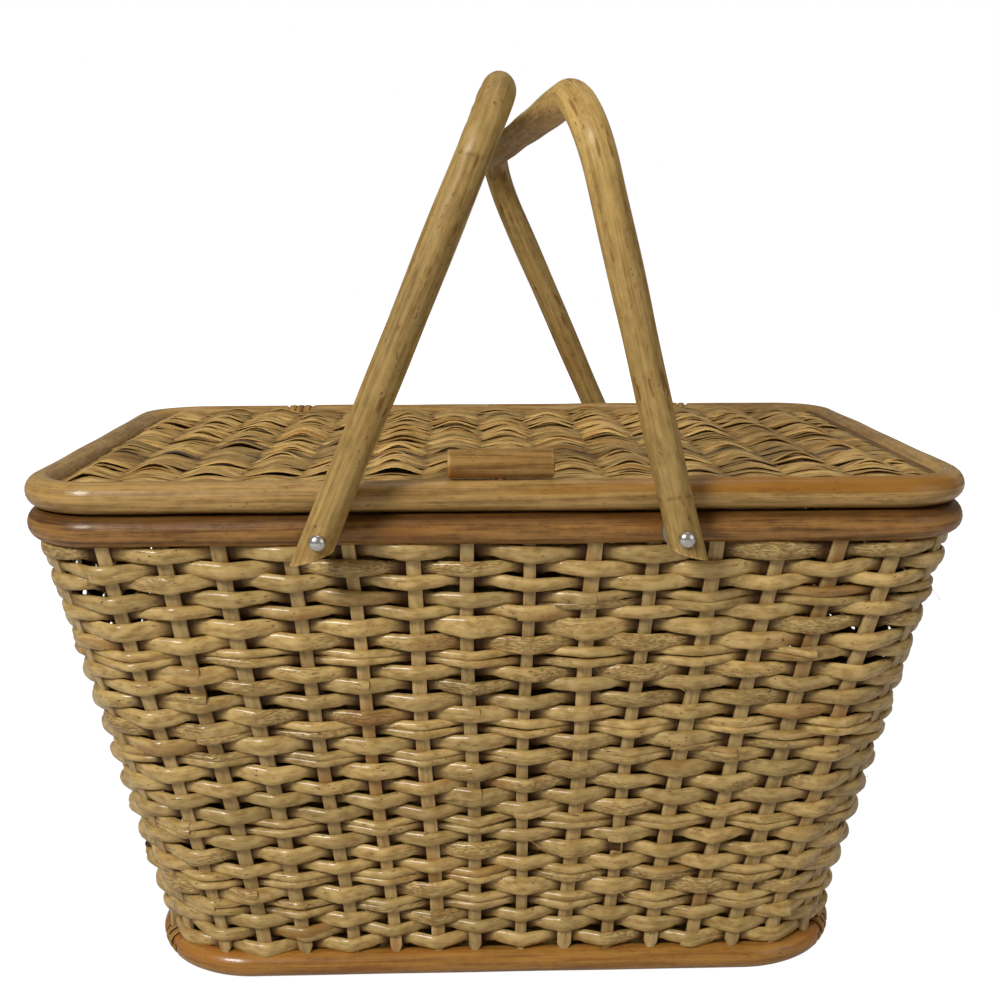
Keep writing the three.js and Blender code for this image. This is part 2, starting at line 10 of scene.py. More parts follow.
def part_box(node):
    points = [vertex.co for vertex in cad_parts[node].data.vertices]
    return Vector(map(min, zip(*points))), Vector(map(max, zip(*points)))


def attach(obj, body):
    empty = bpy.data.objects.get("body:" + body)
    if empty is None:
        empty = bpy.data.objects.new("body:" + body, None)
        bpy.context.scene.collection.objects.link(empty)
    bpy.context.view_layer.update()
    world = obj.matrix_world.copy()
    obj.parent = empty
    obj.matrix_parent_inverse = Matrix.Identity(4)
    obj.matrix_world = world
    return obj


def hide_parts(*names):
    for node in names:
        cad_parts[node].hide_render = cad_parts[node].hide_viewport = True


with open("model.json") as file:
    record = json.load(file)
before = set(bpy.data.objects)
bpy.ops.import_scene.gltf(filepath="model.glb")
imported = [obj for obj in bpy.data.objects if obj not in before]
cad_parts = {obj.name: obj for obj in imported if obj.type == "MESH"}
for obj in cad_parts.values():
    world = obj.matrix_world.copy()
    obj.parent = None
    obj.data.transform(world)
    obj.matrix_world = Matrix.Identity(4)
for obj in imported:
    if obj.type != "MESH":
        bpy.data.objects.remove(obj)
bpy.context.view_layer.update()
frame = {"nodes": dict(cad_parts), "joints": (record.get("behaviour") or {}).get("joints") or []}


# Base pole
# One peeled rattan pole, steamed and bent to a rounded rectangle that the whole basket stands on.
# Its ends meet at the back, and it is pared to a shallow neck where each cane lashing is wound.

class Wire:
    """A socket of a material's node tree. Arithmetic on it adds Math nodes, and node() adds any other."""

    def __init__(self, tree, socket=None):
        self.tree = tree
        self.socket = socket

    def node(self, kind, settings, sockets, out=0):
        made = self.tree.nodes.new("ShaderNode" + kind)
        for name, value in settings.items():
            setattr(made, name, value)
        for key, value in sockets.items():
            if isinstance(key, int):
                socket = made.inputs[key]
            else:
                socket = next(s for s in made.inputs if s.enabled and s.name == key)
            if isinstance(value, Wire):
                self.tree.links.new(value.socket, socket)
            else:
                socket.default_value = value
        if isinstance(out, int):
            return Wire(self.tree, made.outputs[out])
        return Wire(self.tree, next(s for s in made.outputs if s.enabled and s.name == out))

    def math(self, operation, *values):
        return self.node("Math", {"operation": operation}, dict(enumerate(values)))

    def __add__(self, other):
        return self.math("ADD", self, other)

    def __sub__(self, other):
        return self.math("SUBTRACT", self, other)

    def __rsub__(self, other):
        return self.math("SUBTRACT", other, self)

    def __mul__(self, other):
        return self.math("MULTIPLY", self, other)

    def __truediv__(self, other):
        return self.math("DIVIDE", self, other)

    __radd__ = __add__
    __rmul__ = __mul__

    def between(self, low, high):
        """0 below low, 1 above high, and a smooth slope from one to the other."""
        limits = {"From Min": low, "From Max": high}
        return self.node("MapRange", {"interpolation_type": "SMOOTHSTEP"}, {"Value": self, **limits})

    def blend(self, below, above):
        """The colour below where this socket is 0, and the one above where it is 1."""
        colours = {"Factor": self, "A": below, "B": above}
        return self.node("Mix", {"data_type": "RGBA"}, colours, out="Result")

    def feed(self, shader, name):
        """Links this socket to a shader's input of this name."""
        self.tree.links.new(self.socket, shader.inputs[name])


def bare_finish(name):
    """A new material, its shader, and a wire of its node tree to start from."""
    finish = bpy.data.materials.new(name)
    finish.use_nodes = True
    return finish, finish.node_tree.nodes["Principled BSDF"], Wire(finish.node_tree)


def srgb(red, green, blue):
    """A colour given as it looks on a screen, 0 to 255, in the linear values that a shader takes."""
    shares = [value / 255 for value in (red, green, blue)]
    return [((s + 0.055) / 1.055) ** 2.4 if s > 0.04 else s / 12.92 for s in shares] + [1.0]


fleck_brown = srgb(86, 54, 24)
scar_brown = srgb(118, 76, 32)
bark_brown = srgb(106, 72, 32)
ring_brown = srgb(110, 74, 36)
# The dark brown painted in as shade in hollows, creases and behind other parts.
painted_shade_brown = srgb(57, 28, 3)
stain_fade = 0.16
stain_cover = 0.75
strip_waver = 0.009
strip_depth = 0.012
strip_rightward = 1.2
strip_cover = 0.78
ring_waver = 0.006
ring_core = 0.0003
ring_edge = 0.0014
greyed_tone = -0.5
plain_tone = -0.2
darkest_tone = 0.72
tone_span = 0.56
# How fully that painted shade covers the colour.
painted_shade_cover = 0.94
coat_roughness = 0.16


def rattan(
    name,
    straw,
    fibre,
    stain,
    stain_from,
    streak=1.9,
    blotch=0.8,
    fleck=0.55,
    depth=0.0003,
    rough=0.42,
    varnish=0.1,
    ring_gap=0.0,
    old=None,
    bark=0.0,
    scars=0.0,
    strip=None,
    gloss=0.25,
):
    """Peeled rattan: long fibres and streaks along the grain, stained patches, brown flecks and node rings.
    old is the colour of greyed strands, bark leaves rough brown skin in places, and scars adds long brown
    marks. strip is the lower and upper height and the front face's place of a pole whose upper front side
    is stained, more so to the right."""
    finish, skin, start = bare_finish(name)
    grain = start.node("Attribute", {"attribute_name": "grain"}, {}, out="Vector")
    tone = start.node("Attribute", {"attribute_name": "tone"}, {}, out="Fac")
    # How far each point is painted in shade, read from the stock's attribute.
    painted_shade = start.node("Attribute", {"attribute_name": "painted_shade"}, {}, out="Fac")

    def noise(squeeze, scale, detail):
        drawn_out = start.node("VectorMath", {"operation": "MULTIPLY"}, {0: grain, 1: (1, 1, squeeze)})
        return start.node("TexNoise", {}, {"Vector": drawn_out, "Scale": scale, "Detail": detail})

    fine = noise(0.02, 1700, 3)
    broad = noise(0.05, 380, 3)
    cloud = noise(0.25, 48, 3)
    mottle = noise(0.5, 330, 4)
    pores = noise(0.3, 1500, 2)
    speck = noise(0.4, 900, 2).between(0.63, 0.7) * noise(0.5, 120, 2).between(0.42, 0.62)
    fibres = (broad - 0.5) * streak + (fine - 0.5) * streak * 0.6 + (mottle - 0.5) * blotch + 0.42
    colour = fibres.between(0, 1).blend(straw, fibre)
    colour = (cloud.between(stain_from, stain_from + stain_fade) * stain_cover).blend(colour, stain)
    if strip:
        low, high, front = strip
        place = start.node("TexCoord", {}, {}, out="Object")
        x, y, z = [start.node("SeparateXYZ", {}, {"Vector": place}, out=axis) for axis in "XYZ"]
        above = (z + (noise(0.05, 90, 3) - 0.5) * strip_waver).between(low, high)
        behind = y.between(front, front + strip_depth)
        patches = (noise(0.1, 46, 2) + x * strip_rightward).between(0.44, 0.56)
        colour = (above * (1 - behind) * patches * strip_cover).blend(colour, stain)
    colour = (speck * fleck).blend(colour, fleck_brown)
    if scars:
        scar = noise(0.2, 250, 1).between(0.66, 0.72) * mottle.between(0.36, 0.52)
        colour = (scar * scars).blend(colour, scar_brown)
    if bark:
        skin_left = noise(0.3, 34, 1).between(0.55, 0.66) * noise(0.32, 1250, 4).between(0.45, 0.62) * bark
        colour = (skin_left * 0.62).blend(colour, bark_brown)
    if ring_gap:
        along = start.node("SeparateXYZ", {}, {"Vector": grain}, out="Z")
        spacing = (along + (noise(0.4, 60, 1) - 0.5) * ring_waver) / ring_gap
        from_ring = spacing.math("PINGPONG", spacing, 0.5)
        ring = 1 - from_ring.between(ring_core / ring_gap, ring_edge / ring_gap)
        colour = (ring * mottle.between(0.36, 0.6) * 0.42).blend(colour, ring_brown)
    if old:
        colour = tone.between(greyed_tone, plain_tone).blend(old, colour)
    brightness = darkest_tone + tone * tone_span
    colour = start.node("VectorMath", {"operation": "SCALE"}, {0: colour, "Scale": brightness})
    # Painted shade: where the stock lies hidden, its colour is blended towards a dark brown.
    colour = (painted_shade * painted_shade_cover).blend(colour, painted_shade_brown)
    height = fine * 0.4 + broad * streak * 0.3 + mottle * blotch * 0.5 + pores * 0.25 - speck * fleck * 0.6
    if bark:
        height = height - skin_left * 0.7
    bump = start.node("Bump", {}, {"Height": height, "Distance": depth, "Strength": 1.0})
    colour.feed(skin, "Base Color")
    (rough + (mottle - 0.5) * 0.4).feed(skin, "Roughness")
    bump.feed(skin, "Normal")
    # Where shade is painted, the coat is taken off too.
    (varnish - painted_shade * varnish).feed(skin, "Coat Weight")
    skin.inputs["Specular IOR Level"].default_value = gloss
    skin.inputs["Coat Roughness"].default_value = coat_roughness
    return finish


def straight_stock(section, steps):
    """A straight length of stock along Z from 0 to 1, with this section and both ends capped."""
    length = bmesh.new()
    corners = [length.verts.new((out, up, 0)) for out, up in section]
    edges = [length.edges.new((corners[i - 1], corners[i])) for i in range(len(corners))]
    bmesh.ops.spin(
        length,
        geom=corners + edges,
        cent=(0, 0, 0),
        axis=(0, 0, 1),
        dvec=(0, 0, 1 / steps),
        angle=0,
        steps=steps,
    )
    bmesh.ops.holes_fill(length, edges=[edge for edge in length.edges if edge.is_boundary])
    bmesh.ops.recalc_face_normals(length, faces=length.faces)
    stock = bpy.data.meshes.new("stock")
    length.to_mesh(stock)
    length.free()
    stock.attributes.new("grain", "FLOAT_VECTOR", "POINT")
    stock.attributes.new("tone", "FLOAT", "POINT")
    # Painted shade, from 0 to 1.
    stock.attributes.new("painted_shade", "FLOAT", "POINT")
    return stock


def bend_stock(piece, stock, centre, outward, thick, wide, shift=0.0, tone=0.5, painted_shade=0.0, dents=0.0):
    """Bends a straight length of stock along its centres into the piece, and notes where its grain runs.
    thick and wide are half sizes at each centre, and shift moves the grain's pattern.
    Painted shade, a dark brown blended in where the stock lies hidden, is given at each centre or as a
    function of its points."""
    local = np.empty(len(stock.vertices) * 3, np.float32)
    stock.vertices.foreach_get("co", local)
    local = local.reshape(-1, 3)
    stock_rest = local.copy()
    at = np.rint(local[:, 2] * (len(centre) - 1)).astype(int)
    stretch = np.linalg.norm(np.diff(centre, axis=0), axis=1)
    distance = np.concatenate([[0], np.cumsum(stretch)])
    forward = np.gradient(centre, axis=0)
    forward /= np.linalg.norm(forward, axis=1)[:, None]
    across = np.cross(forward, outward)
    across /= np.linalg.norm(across, axis=1)[:, None]
    out = np.cross(across, forward)
    out_by = local[:, 0] * np.broadcast_to(thick, len(centre))[at]
    across_by = local[:, 1] * np.broadcast_to(wide, len(centre))[at]
    if dents:
        # Three waves of unlike lengths, so that the dents don't repeat along the stock.
        angle = np.arctan2(local[:, 1], local[:, 0])
        way = distance[at] + shift
        swell = np.sin(2 * angle + 31 * way) + 0.7 * np.sin(3 * angle - 53 * way) + 0.8 * np.sin(89 * way)
        out_by = out_by + dents * swell * np.cos(angle)
        across_by = across_by + dents * swell * np.sin(angle)
    placed = centre[at] + out[at] * out_by[:, None] + across[at] * across_by[:, None]
    grain = np.stack([out_by + shift, across_by + 2 * shift, distance[at] + shift], axis=1)
    stock.vertices.foreach_set("co", placed.astype(np.float32).ravel())
    stock.attributes["grain"].data.foreach_set("vector", grain.astype(np.float32).ravel())
    shade = np.broadcast_to(tone, len(centre))[at]
    stock.attributes["tone"].data.foreach_set("value", shade.astype(np.float32))
    hidden = painted_shade(placed) if callable(painted_shade) else np.broadcast_to(painted_shade, len(centre))[at]
    stock.attributes["painted_shade"].data.foreach_set("value", hidden.astype(np.float32))
    piece.from_mesh(stock)
    stock.vertices.foreach_set("co", stock_rest.ravel())


def round_section(corners):
    angles = [2 * math.pi * k / corners for k in range(corners)]
    return [(math.cos(angle), math.sin(angle)) for angle in angles]


def round_outline(turn, length, depth, corner):
    """Points of a rounded rectangle and their outward directions.
    turn is their shares of a full turn, counted from the front's middle to the right."""
    flat_x = length / 2 - corner
    flat_y = depth / 2 - corner
    bend = corner * math.pi / 2
    ways = np.cumsum([0, flat_x, bend, 2 * flat_y, bend, 2 * flat_x, bend, 2 * flat_y, bend, flat_x])
    way = np.mod(turn, 1) * ways[-1]
    heading = np.radians(np.interp(way, ways, [0, 0, 90, 90, 180, 180, 270, 270, 360, 360]))
    middle_x = np.interp(way, ways, np.array([0, 1, 1, 1, 1, -1, -1, -1, -1, 0]) * flat_x)
    middle_y = np.interp(way, ways, np.array([-1, -1, -1, 1, 1, 1, 1, -1, -1, -1]) * flat_y)
    outward = np.stack([np.sin(heading), -np.cos(heading), np.zeros_like(heading)], axis=-1)
    middle = np.stack([middle_x, middle_y, np.zeros_like(heading)], axis=-1)
    return middle + corner * outward, outward


def add_piece(name, made, finish, body, slot, *stands_for):
    """Puts a finished mesh in the scene, on its body, in place of the named solids."""
    mesh = bpy.data.meshes.new(name)
    made.to_mesh(mesh)
    made.free()
    mesh.shade_smooth()
    mesh.set_sharp_from_angle(angle=math.radians(50))
    mesh.materials.append(finish)
    piece = bpy.data.objects.new(name, mesh)
    bpy.context.scene.collection.objects.link(piece)
    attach(piece, body)
    if stands_for:
        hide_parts(*stands_for)
    return piece


ring_steps = 840
ring_closed = 0.9999
neck_slope = 0.0015
ring_stock = straight_stock(round_section(24), ring_steps)


def bent_ring(node, corner, necks, neck_half, neck_radius, shift, painted_shade=0.0, dents=0.00012):
    """A pole bent round the outline of a node of the frame, its ends meeting behind, with pared necks and,
    if given, painted shade.
    """
    low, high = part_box(node)
    radius = (high.z - low.z) / 2
    length = high.x - low.x - 2 * radius
    depth = high.y - low.y - 2 * radius
    turn = 0.5 + np.linspace(0, 1, ring_steps + 1) * ring_closed
    centre, outward = round_outline(turn, length, depth, corner)
    centre[:, 2] = (low.z + high.z) / 2
    thick = np.full(ring_steps + 1, radius)
    for neck_x, neck_y in necks:
        away = np.hypot(centre[:, 0] - neck_x, centre[:, 1] - neck_y)
        pared = np.clip((away - neck_half) / neck_slope, 0, 1)
        thick = np.minimum(thick, neck_radius + (radius - neck_radius) * pared)
    ring = bmesh.new()
    bend_stock(ring, ring_stock, centre, outward, thick, thick, shift, painted_shade=painted_shade, dents=dents)
    return ring


base_corner = 0.05
lashing_share = 0.28
lashing_signs = {
    "base_lashing_front_left": (-1, -1),
    "base_lashing_front_right": (1, -1),
    "base_lashing_back_left": (-1, 1),
    "base_lashing_back_right": (1, 1),
}
base_low, base_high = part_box("base_pole")
base_radius = (base_high.z - base_low.z) / 2
bend_hub_x = base_high.x - base_radius - base_corner
bend_hub_y = base_high.y - base_radius - base_corner


def base_bend(sign_x, sign_y, way):
    """Points on the bend of a base corner and their outward directions.
    way is their distance along the bend from the lashing's middle."""
    angle = lashing_share * math.pi / 2 + way / base_corner
    outward = np.stack([sign_x * np.cos(angle), sign_y * np.sin(angle), np.zeros_like(angle)], axis=1)
    hub = np.array([sign_x * bend_hub_x, sign_y * bend_hub_y, base_radius])
    return hub + base_corner * outward, outward


lashing_places = [base_bend(*signs, np.zeros(1))[0][0, :2] for signs in lashing_signs.values()]
base_finish = rattan(
    "base_pole_rattan",
    straw=srgb(170, 122, 55),
    fibre=srgb(130, 84, 32),
    stain=srgb(168, 104, 36),
    stain_from=0.48,
    rough=0.32,
    varnish=0.5,
    ring_gap=0.31,
)
base_neck_half = 0.0104
base_neck_radius = 0.0048
base_ring = bent_ring(
    "base_pole",
    base_corner,
    lashing_places,
    base_neck_half,
    base_neck_radius,
    shift=0.0,
    dents=0.00004,
)
add_piece("base_pole_bent", base_ring, base_finish, "basket", "base_rattan", "base_pole")


# Floor of the basket
# Flat split strips woven one over, one under inside the base pole, where their ends are tucked.
# They close the bottom, and are seen only from inside or underneath.

floor_low, floor_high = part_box("floor_weave")
floor_middle = 0.0065
floor_pitch = 0.0135
strip_half_width = 0.0067
strip_half_thick = 0.0008
floor_wave = 0.0011
floor_trim = 0.001
floor_corner = base_corner - base_radius - floor_trim
flat_section = [(0.8, -0.7), (1, 0), (0.8, 0.7), (0, 1), (-0.8, 0.7), (-1, 0), (-0.8, -0.7), (0, -1)]
strip_steps = 180
strip_stock = straight_stock(flat_section, strip_steps)


def floor_strips(strips, half_run, half_spread, over_first, swap):
    """Strips that run one way, each trimmed to the rounded corners and waving over the strips across it."""
    count = int(2 * half_spread / floor_pitch)
    for k in range(count):
        aside = (k - (count - 1) / 2) * floor_pitch
        into_corner = max(0.0, abs(aside) - (half_spread - floor_corner))
        into_bend = math.sqrt(max(floor_corner**2 - into_corner**2, 0.0))
        reach = half_run - floor_corner + into_bend - floor_trim
        along = np.linspace(-reach, reach, strip_steps + 1)
        wave = np.cos(np.pi * along / floor_pitch + np.pi * (k + over_first))
        lift = floor_middle + floor_wave * wave
        flat = [along, np.full_like(along, aside)]
        if swap:
            flat.reverse()
        centre = np.stack([*flat, lift], axis=1)
        upward = np.broadcast_to([0.0, 0.0, 1.0], centre.shape)
        tone = 0.35 + 0.3 * math.sin(7.3 * k + over_first) ** 2
        bend_stock(strips, strip_stock, centre, upward, strip_half_thick, strip_half_width, 0.37 * k, tone)


floor_finish = rattan(
    "floor_strip_rattan",
    straw=srgb(192, 162, 98),
    fibre=srgb(146, 114, 58),
    stain=srgb(150, 110, 62),
    stain_from=0.55,
)
floor_weave = bmesh.new()
floor_half_x = (floor_high.x - floor_low.x) / 2
floor_half_y = (floor_high.y - floor_low.y) / 2
floor_strips(floor_weave, floor_half_x, floor_half_y, 0, swap=False)
floor_strips(floor_weave, floor_half_y, floor_half_x, 1, swap=True)
add_piece("floor_strips", floor_weave, floor_finish, "basket", "willow_weave", "floor_weave")


# Stakes of the body
# Forty-eight flat split uprights that stand round the base pole and fan out up to the rim pole.
# Their rounded lower ends lie on the pole's upper face, and the weavers hold them there.

stake_count = 48
stake_half_width = 0.0033
stake_half_thick = 0.0012
stake_flare = 0.0042
stake_flare_height = 0.02
stake_foot = 0.0012
stake_head = 0.001
stake_tip = 0.003
stake_tip_width = 0.35
stake_spacing_sway = 0.07
stake_bow = 0.0006
stake_drift = 0.0007
stake_section = [(1, -0.82), (1, 0), (1, 0.82), (0.7, 1), (-1, 1), (-1, -1), (0.7, -1)]
wall_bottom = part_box("wall_weave_front")[0].z
wall_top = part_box("wall_weave_front")[1].z
end_inset = 0.0005
side_inset = 0.003
wall_low_size = {
    "length": 2 * (base_high.x - base_radius - end_inset),
    "depth": 2 * (base_high.y - base_radius - side_inset),
    "corner": base_corner,
}
wall_high_size = {"length": 0.438, "depth": 0.278, "corner": 0.033}


def wall_size(height):
    """The outline of the wall's middle surface at a height: it widens evenly from the base to the rim."""
    share = (height - wall_bottom) / (wall_top - wall_bottom)
    return {key: low + (wall_high_size[key] - low) * share for key, low in wall_low_size.items()}


def wall_normal(outward):
    """The wall's outward direction in space: the wall leans out, more at the ends than at the sides."""
    rise = wall_top - wall_bottom
    end_lean = (wall_high_size["length"] - wall_low_size["length"]) / 2 / rise
    side_lean = (wall_high_size["depth"] - wall_low_size["depth"]) / 2 / rise
    lean = end_lean * outward[:, 0] ** 2 + side_lean * outward[:, 1] ** 2
    leaning = np.stack([outward[:, 0], outward[:, 1], -lean], axis=1)
    return leaning / np.linalg.norm(leaning, axis=1)[:, None]


stake_draw = np.random.default_rng(11)
stakes = bmesh.new()
stake_steps = 64
stake_stock = straight_stock(stake_section, stake_steps)
stake_heights = np.linspace(wall_bottom - stake_foot, wall_top + stake_head, stake_steps + 1)
for k in range(stake_count):
    sway = stake_draw.uniform(-1, 1, 3)
    stake_turn = (k + 0.5 + stake_spacing_sway * sway[0]) / stake_count
    line = []
    for height in stake_heights:
        drift = stake_bow * math.sin(38 * height + 3 * sway[1]) + stake_drift * sway[2]
        point, outward = round_outline(np.array([stake_turn + drift]), **wall_size(height))
        line.append((point[0] + [0, 0, height], outward[0]))
    centre = np.array([point for point, _ in line])
    facing = wall_normal(np.array([outward for _, outward in line]))
    flare = np.clip(1 - (stake_heights - stake_heights[0]) / stake_flare_height, 0, 1)
    centre = centre + facing * (stake_flare * flare**1.5)[:, None]
    rounding = np.sqrt(np.clip((stake_heights - stake_heights[0]) / stake_tip, 0.0, 1.0))
    rounding = stake_tip_width + (1 - stake_tip_width) * rounding
    width = stake_half_width * stake_draw.uniform(0.86, 1.1) * rounding
    tone = stake_draw.uniform(0.16, 0.68)
    bend_stock(stakes, stake_stock, centre, facing, stake_half_thick, width, 0.41 * k, tone)
stake_finish = rattan(
    "stake_rattan",
    straw=srgb(194, 166, 112),
    fibre=srgb(150, 120, 70),
    stain=srgb(150, 106, 54),
    stain_from=0.53,
    streak=1.2,
    blotch=1.2,
    rough=0.44,
    varnish=0.25,
)
add_piece("stakes", stakes, stake_finish, "basket", "willow_weave")


# Weavers of the body
# Half-round split rods laid in rows, each passing in front of one stake and behind the next.
# Three rods go round in a row, each ending over the next one's start. Some are two thin rods side by side.

row_count = 29
weaver_out = 0.0026
weaver_wave = 0.0030
weaver_middle = -0.0004
overlap_stakes = 1.3
beaten_closer = 0.16
loose_share = 0.18
rods_per_row = 3
stakes_per_rod = stake_count / rods_per_row + overlap_stakes
weaver_steps = int(stakes_per_rod * 10)
crown_angles = np.radians([-90, -64, -40, -13, 13, 40, 64, 90])
crown_fullness = 0.65
half_round = [(abs(math.cos(angle)) ** crown_fullness, math.sin(angle)) for angle in crown_angles]
half_round += [(-0.4, 0.82), (-0.5, 0.0), (-0.4, -0.82)]
weaver_stock = straight_stock(half_round, weaver_steps)
weaver_draw = np.random.default_rng(23)
row_pitch = (wall_top - wall_bottom) / row_count
row_middles = wall_bottom + (np.arange(row_count) + 0.5) * row_pitch
row_middles = row_middles + weaver_draw.uniform(-0.0007, 0.0007, row_count)
row_widths = np.gradient(row_middles) * weaver_draw.uniform(0.94, 1.08, row_count)
start_past_stake = 0.3
slow_wander = 0.0009
quick_wander = 0.0006
kinked_wander = 0.0011
lap_shift = 0.0015
end_width = 0.72
pressed_in = 0.32
steadier_at_back = 0.7
bottom_flare = 0.0022
flared_share = 0.06
loose_lift = 0.0042
tucked_lift = 0.0007
rod_roll = 0.22


def lay_weaver(rods, row, start, half_width, aside, tone):
    """One rod of a row, from a start part of the way round the basket.
    It is widest over a stake and narrowest where it goes in beside one."""
    crossing = np.linspace(0, stakes_per_rod, weaver_steps + 1)
    turn = start + crossing / stake_count
    first_stake = 0.5 - start_past_stake

    def varied(per_stake):
        """Random values with a kink at each stake, or at more or fewer places."""
        knots = first_stake + np.arange(-1 / per_stake, stakes_per_rod + 1 / per_stake, 1 / per_stake)
        return np.interp(crossing, knots, weaver_draw.uniform(-1, 1, len(knots)))

    height = row_middles[row]
    share = (height - wall_bottom) / (wall_top - wall_bottom)
    point, outward = round_outline(turn, **wall_size(height))
    facing = wall_normal(outward)
    phase = np.pi * (stake_count * turn - 0.5 + row)
    weave = (np.cos(phase) + 0.11 * np.cos(3 * phase) + 0.04 * np.cos(5 * phase)) * (1 + 0.1 * varied(1))
    at_corner = (2 * outward[:, 0] * outward[:, 1]) ** 2
    at_end = outward[:, 0] ** 2
    weave *= 1 - 0.4 * at_corner - 0.12 * at_end
    wander = slow_wander * np.sin(2 * np.pi * (2 * turn + 0.3 * share) + 1)
    wander += quick_wander * np.sin(2 * np.pi * (5 * turn - 0.8 * share) + 2)
    wander += kinked_wander * varied(1)
    from_start = np.clip(crossing / overlap_stakes, 0, 1)
    from_end = np.clip((crossing[-1] - crossing) / overlap_stakes, 0, 1)
    wander += lap_shift * (from_start**2 - from_end**2)
    taper = end_width + (1 - end_width) * np.minimum(from_start, from_end)
    at_back = np.clip(2 * outward[:, 1], 0, 1)
    going_in = np.exp(-(((weave + 0.36) / 0.22) ** 2))
    pressed = 0.92 + 0.08 * np.maximum(weave, 0) - 0.4 * np.minimum(weave, 0)
    pressed = pressed * (1 + beaten_closer * at_back) - pressed_in * going_in * (1 - at_back)
    wander *= 1 - steadier_at_back * at_back
    wide = half_width * taper * (pressed + 0.12 * varied(0.5) + 0.11 * varied(1.5))
    flare = bottom_flare * max(0.0, 1 - share / flared_share)
    loose = loose_lift if weaver_draw.uniform() < loose_share else tucked_lift
    out = weaver_middle + weaver_wave * weave + loose * (1 - from_end) ** 2 + flare
    centre = point + facing * out[:, None]
    centre[:, 2] += height + aside + wander
    rolled = facing + rod_roll * varied(1)[:, None] * np.array([0.0, 0.0, 1.0])
    # Painted shade where the rod goes in behind a stake.
    painted_shade = np.clip(-0.5 - 2.4 * weave, 0, 1)
    shade = tone + 0.12 * varied(0.4) + 0.06 * varied(2)
    thick = weaver_out * (0.75 + 0.25 * wide / half_width)
    shift = 0.53 * row + 7 * start + 90 * aside
    bend_stock(rods, weaver_stock, centre, rolled, thick, wide, shift, shade, painted_shade)


weaver_finish = rattan(
    "weaver_rattan",
    straw=srgb(197, 167, 106),
    fibre=srgb(148, 116, 58),
    stain=srgb(146, 100, 42),
    stain_from=0.56,
    streak=0.7,
    blotch=1.9,
    fleck=0.8,
    depth=0.0004,
    rough=0.4,
    varnish=0.45,
    bark=0.9,
)
wall_nodes = [node for node in frame["nodes"] if "wall_weave" in node or "corner_weave" in node]
top_rows = row_count - 2
doubled_share = 0.2
bands = {
    "weavers_lower": range(0, 10),
    "weavers_middle": range(10, 20),
    "weavers_upper": range(20, row_count),
}
for band, rows in bands.items():
    rods = bmesh.new()
    for row in rows:
        row_start = weaver_draw.integers(0, stake_count) + start_past_stake
        for rod in range(rods_per_row):
            start = row_start / stake_count + rod / rods_per_row
            tone = weaver_draw.uniform(0.2, 0.7)
            half_width = row_widths[row] * 0.54 * weaver_draw.uniform(0.92, 1.05)
            if row < top_rows and weaver_draw.uniform() < doubled_share:
                for side in (-1, 1):
                    aside = side * half_width * 0.5
                    lay_weaver(rods, row, start, half_width * 0.56, aside, tone + 0.05 * side)
            else:
                lay_weaver(rods, row, start, half_width, 0.0, tone)
    stood_for = wall_nodes if band == "weavers_lower" else []
    add_piece(band, rods, weaver_finish, "basket", "willow_weave", *stood_for)

hair_count = 70
hair_radius = 0.00013
hair_lengths = (0.004, 0.009)
hair_curl = 40
hair_steps = 6
hair_stock = straight_stock(round_section(5), hair_steps)
hair_draw = np.random.default_rng(71)
hairs = bmesh.new()
for k in range(hair_count):
    row = hair_draw.integers(1, row_count)
    stake = 2 * hair_draw.integers(0, stake_count // 2) + row % 2
    hair_turn = (stake + 0.5 + hair_draw.uniform(-0.3, 0.3)) / stake_count
    point, outward = round_outline(np.array([hair_turn]), **wall_size(row_middles[row]))
    root = point[0] + wall_normal(outward)[0] * (weaver_middle + weaver_wave + 0.3 * weaver_out)
    root[2] += row_middles[row]
    along_wall = np.cross([0.0, 0.0, 1.0], outward[0]) * hair_draw.choice([-1, 1])
    lean = along_wall + outward[0] * hair_draw.uniform(0.5, 1.1) + [0, 0, hair_draw.uniform(-0.7, 0.7)]
    way = np.linspace(0, hair_draw.uniform(*hair_lengths), hair_steps + 1)
    droop = np.array([0, 0, hair_draw.uniform(-hair_curl, hair_curl)])
    centre = root + lean / np.linalg.norm(lean) * way[:, None] + droop * way[:, None] ** 2
    facing = np.broadcast_to([0.0, 0.0, 1.0], centre.shape)
    bend_stock(hairs, hair_stock, centre, facing, hair_radius, hair_radius, 0.2 * k, 0.6)
add_piece("weaver_hairs", hairs, weaver_finish, "basket", "willow_weave")


# Rim pole
# A second bent pole, darker and redder, with the tops of the stakes let into its underside.
# The handles' bolts go through it, and the lid's back pole is tied to it with cane.

hinge_places = []
for side in ("left", "right"):
    low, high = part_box(f"hinge_binding_{side}")
    hinge_places.append((low.x + high.x) / 2)
rim_corner = 0.033
rim_low, rim_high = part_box("rim_pole")
rim_radius = (rim_high.z - rim_low.z) / 2
rim_middle = (rim_low.z + rim_high.z) / 2
rim_back = rim_high.y - rim_radius
hinge_necks = [(x, rim_back) for x in hinge_places]
hinge_neck_half = 0.0078
hinge_neck_radius = 0.0062
# How dark the rim pole's upper side is painted, as shade in the crevice under the lid.
rim_painted_shade = 0.68
rim_finish = rattan(
    "rim_pole_rattan",
    straw=srgb(160, 115, 60),
    fibre=srgb(86, 55, 18),
    stain=srgb(126, 80, 30),
    stain_from=0.5,
    rough=0.42,
    varnish=0.22,
    scars=0.4,
)


def painted_shade_under_lid(points):
    """Painted shade on the rim pole's upper side, where it lies in the crevice under the lid."""
    height = (points[:, 2] - rim_middle) / rim_radius
    return rim_painted_shade * np.clip((height - 0.3) / 0.4, 0, 1)


